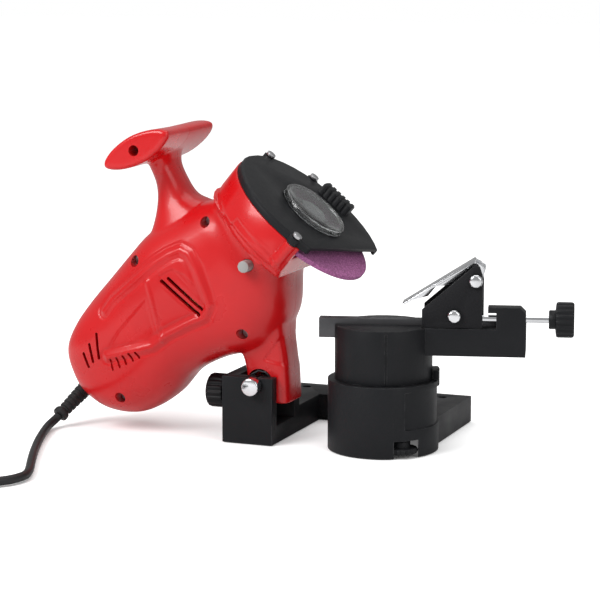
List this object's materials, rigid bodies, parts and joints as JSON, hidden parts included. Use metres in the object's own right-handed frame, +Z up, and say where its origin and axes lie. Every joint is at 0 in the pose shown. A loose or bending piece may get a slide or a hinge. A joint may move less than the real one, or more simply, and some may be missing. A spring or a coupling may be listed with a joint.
{
  "type": "electric chain sharpener",
  "caption": "Bench sharpener with a hinged motor head, a thin abrasive wheel under a guard with a clear window, and a swivelling link vise with a sprung stop on a C-shaped base.",
  "frame": {"origin": "on the surface that the base stands on, under the centre of the tool's bounding box without its cord", "axes": "+Z up, +X from the hinge block towards the vise's knob, +Y away from the user, along the head's hinge"},
  "size_m": [0.4446, 0.3949, 0.2165],
  "materials": {
    "gloss_red": "gloss moulded shells",
    "black_casting": "satin black paint on cast metal",
    "textured_black": "textured black powder coat",
    "black_plastic": "black moulded plastic",
    "grey_plastic": "grey moulded plastic",
    "white_plastic": "natural nylon",
    "chrome": "bright plated steel",
    "steel": "plain steel",
    "dark_steel": "blackened steel",
    "abrasive": "vitrified abrasive, mauve pink",
    "clear": "clear polycarbonate",
    "copper": "enamelled copper wire",
    "brass": "brass",
    "carbon": "carbon",
    "rubber": "black flexible PVC"
  },
  "bodies": {
    "base": {"base_casting": "black_casting", "hinge_bolt": "chrome", "hinge_nut": "steel", "return_spring": "dark_steel", "pivot_bolt": "steel", "cord_lead": "rubber", "cord_coil": "rubber", "cord_tie": "rubber", "plug_body": "rubber", "plug_blades": "brass"},
    "depth_stop": {"depth_screw": "steel"},
    "depth_turn": {"depth_knob": "black_plastic"},
    "table_lock": {"lock_screw": "steel"},
    "table_lock_turn": {"lock_knob": "black_plastic"},
    "vise": {"vise_body": "black_casting", "guide_rail_front": "dark_steel"},
    "rear_rail": {"guide_rail_rear": "dark_steel"},
    "clamp": {"clamp_knob": "black_plastic"},
    "stop_carriage": {"stop_bracket": "textured_black", "pawl_bolt": "chrome", "bracket_bolt": "chrome"},
    "stop_adjuster": {"stop_screw": "chrome", "stop_knob": "black_plastic"},
    "pawl": {"stop_pawl": "chrome"},
    "head": {"head_shell_front": "gloss_red", "head_shell_rear": "gloss_red", "shell_screw_grip": "steel", "shell_screw_neck": "steel", "shell_screw_back": "steel", "shell_screw_waist": "steel", "shell_screw_tail": "steel", "guard_cover": "black_plastic", "guard_window": "clear", "guard_screw_top": "steel", "guard_screw_front": "steel", "guard_screw_back": "steel", "front_plate": "dark_steel", "bearing_plate": "dark_steel", "spindle_bearing_front": "steel", "spindle_bearing_rear": "steel", "motor_bearing_front": "steel", "motor_bearing_rear": "steel", "stator_core": "dark_steel", "field_winding": "copper", "brush_yoke": "brass", "carbon_brush_front": "carbon", "carbon_brush_rear": "carbon", "switch_body": "black_plastic", "strain_relief": "rubber"},
    "spindle_set": {"spindle": "steel", "driven_gear": "white_plastic", "grinding_wheel": "abrasive", "wheel_flange": "steel", "spindle_nut": "steel"},
    "armature": {"armature_shaft": "steel", "drive_pinion": "steel", "armature_core": "copper", "cooling_fan": "white_plastic"},
    "lock_button": {"spindle_lock_button": "grey_plastic"},
    "rocker": {"switch_rocker": "gloss_red"}
  },
  "joints": [
    {"name": "head_tilt", "type": "hinge", "parent": "base", "child": "head", "pos_m": [-0.02921, -0.01904, 0.0415], "axis": [0, 1, 0], "range_deg": [0, 14], "deforming": ["return_spring"]},
    {"name": "depth_slide", "type": "slide", "parent": "base", "child": "depth_stop", "axis": [1, 0, 0], "range_m": [-0.003, 0]},
    {"name": "depth_knob_turn", "type": "hinge", "parent": "depth_stop", "child": "depth_turn", "pos_m": [-0.05421, -0.01904, 0.0305], "axis": [1, 0, 0], "range_deg": [-1081, 1]},
    {"name": "table_lock_slide", "type": "slide", "parent": "base", "child": "table_lock", "axis": [0, 0, 1], "range_m": [-0.0015, 0]},
    {"name": "table_lock_knob_turn", "type": "hinge", "parent": "table_lock", "child": "table_lock_turn", "pos_m": [0.07594, -0.0399, 0.006], "axis": [0, 0, 1], "range_deg": [-541, 1]},
    {"name": "vise_swivel", "type": "hinge", "parent": "base", "child": "vise", "pos_m": [0.05579, -0.01904, 0.06], "axis": [0, 0, 1], "range_deg": [-50, 20]},
    {"name": "rear_rail_slide", "type": "slide", "parent": "vise", "child": "rear_rail", "axis": [0.2588, -0.9659, 0], "range_m": [-0.0008, 0.0006]},
    {"name": "clamp_knob_turn", "type": "hinge", "parent": "rear_rail", "child": "clamp", "pos_m": [0.09408, 0.01192, 0.0805], "axis": [0.2588, -0.9659, 0], "range_deg": [-289, 217]},
    {"name": "stop_carriage_slide", "type": "slide", "parent": "vise", "child": "stop_carriage", "axis": [0.9659, 0.2588, 0], "range_m": [-0.005, 0.003]},
    {"name": "stop_knob_turn", "type": "hinge", "parent": "stop_carriage", "child": "stop_adjuster", "pos_m": [0.17236, 0.00184, 0.0926], "axis": [0.9659, 0.2588, 0], "range_deg": [-1801, 1081]},
    {"name": "pawl_hinge", "type": "hinge", "parent": "stop_carriage", "child": "pawl", "pos_m": [0.11655, -0.00276, 0.1186], "axis": [-0.2588, 0.9659, 0], "range_deg": [0, 50]},
    {"name": "spindle_spin", "type": "hinge", "parent": "head", "child": "spindle_set", "pos_m": [-0.00361, -0.01904, 0.1512], "axis": [0.6428, 0, 0.766], "continuous": true},
    {"name": "armature_spin", "type": "hinge", "parent": "head", "child": "armature", "pos_m": [-0.01877, -0.01904, 0.16393], "axis": [0.6428, 0, 0.766], "continuous": true},
    {"name": "lock_button_press", "type": "slide", "parent": "head", "child": "lock_button", "axis": [0, 1, 0], "range_m": [0, 0.003], "stiffness_N_per_m": 150},
    {"name": "switch_rock", "type": "hinge", "parent": "head", "child": "rocker", "pos_m": [-0.12821, 0.01756, 0.0775], "axis": [1, 0, 0], "range_deg": [-16, 0]}
  ],
  "couplings": [
    {"joint": "depth_knob_turn", "follows": "depth_slide", "rad_per_m": 6283.2},
    {"joint": "table_lock_knob_turn", "follows": "table_lock_slide", "rad_per_m": 6283.2},
    {"joint": "clamp_knob_turn", "follows": "rear_rail_slide", "rad_per_m": 6283.2},
    {"joint": "stop_knob_turn", "follows": "stop_carriage_slide", "rad_per_m": 6283.2},
    {"joint": "armature_spin", "follows": "spindle_spin", "ratio": -2.6667}
  ]
}
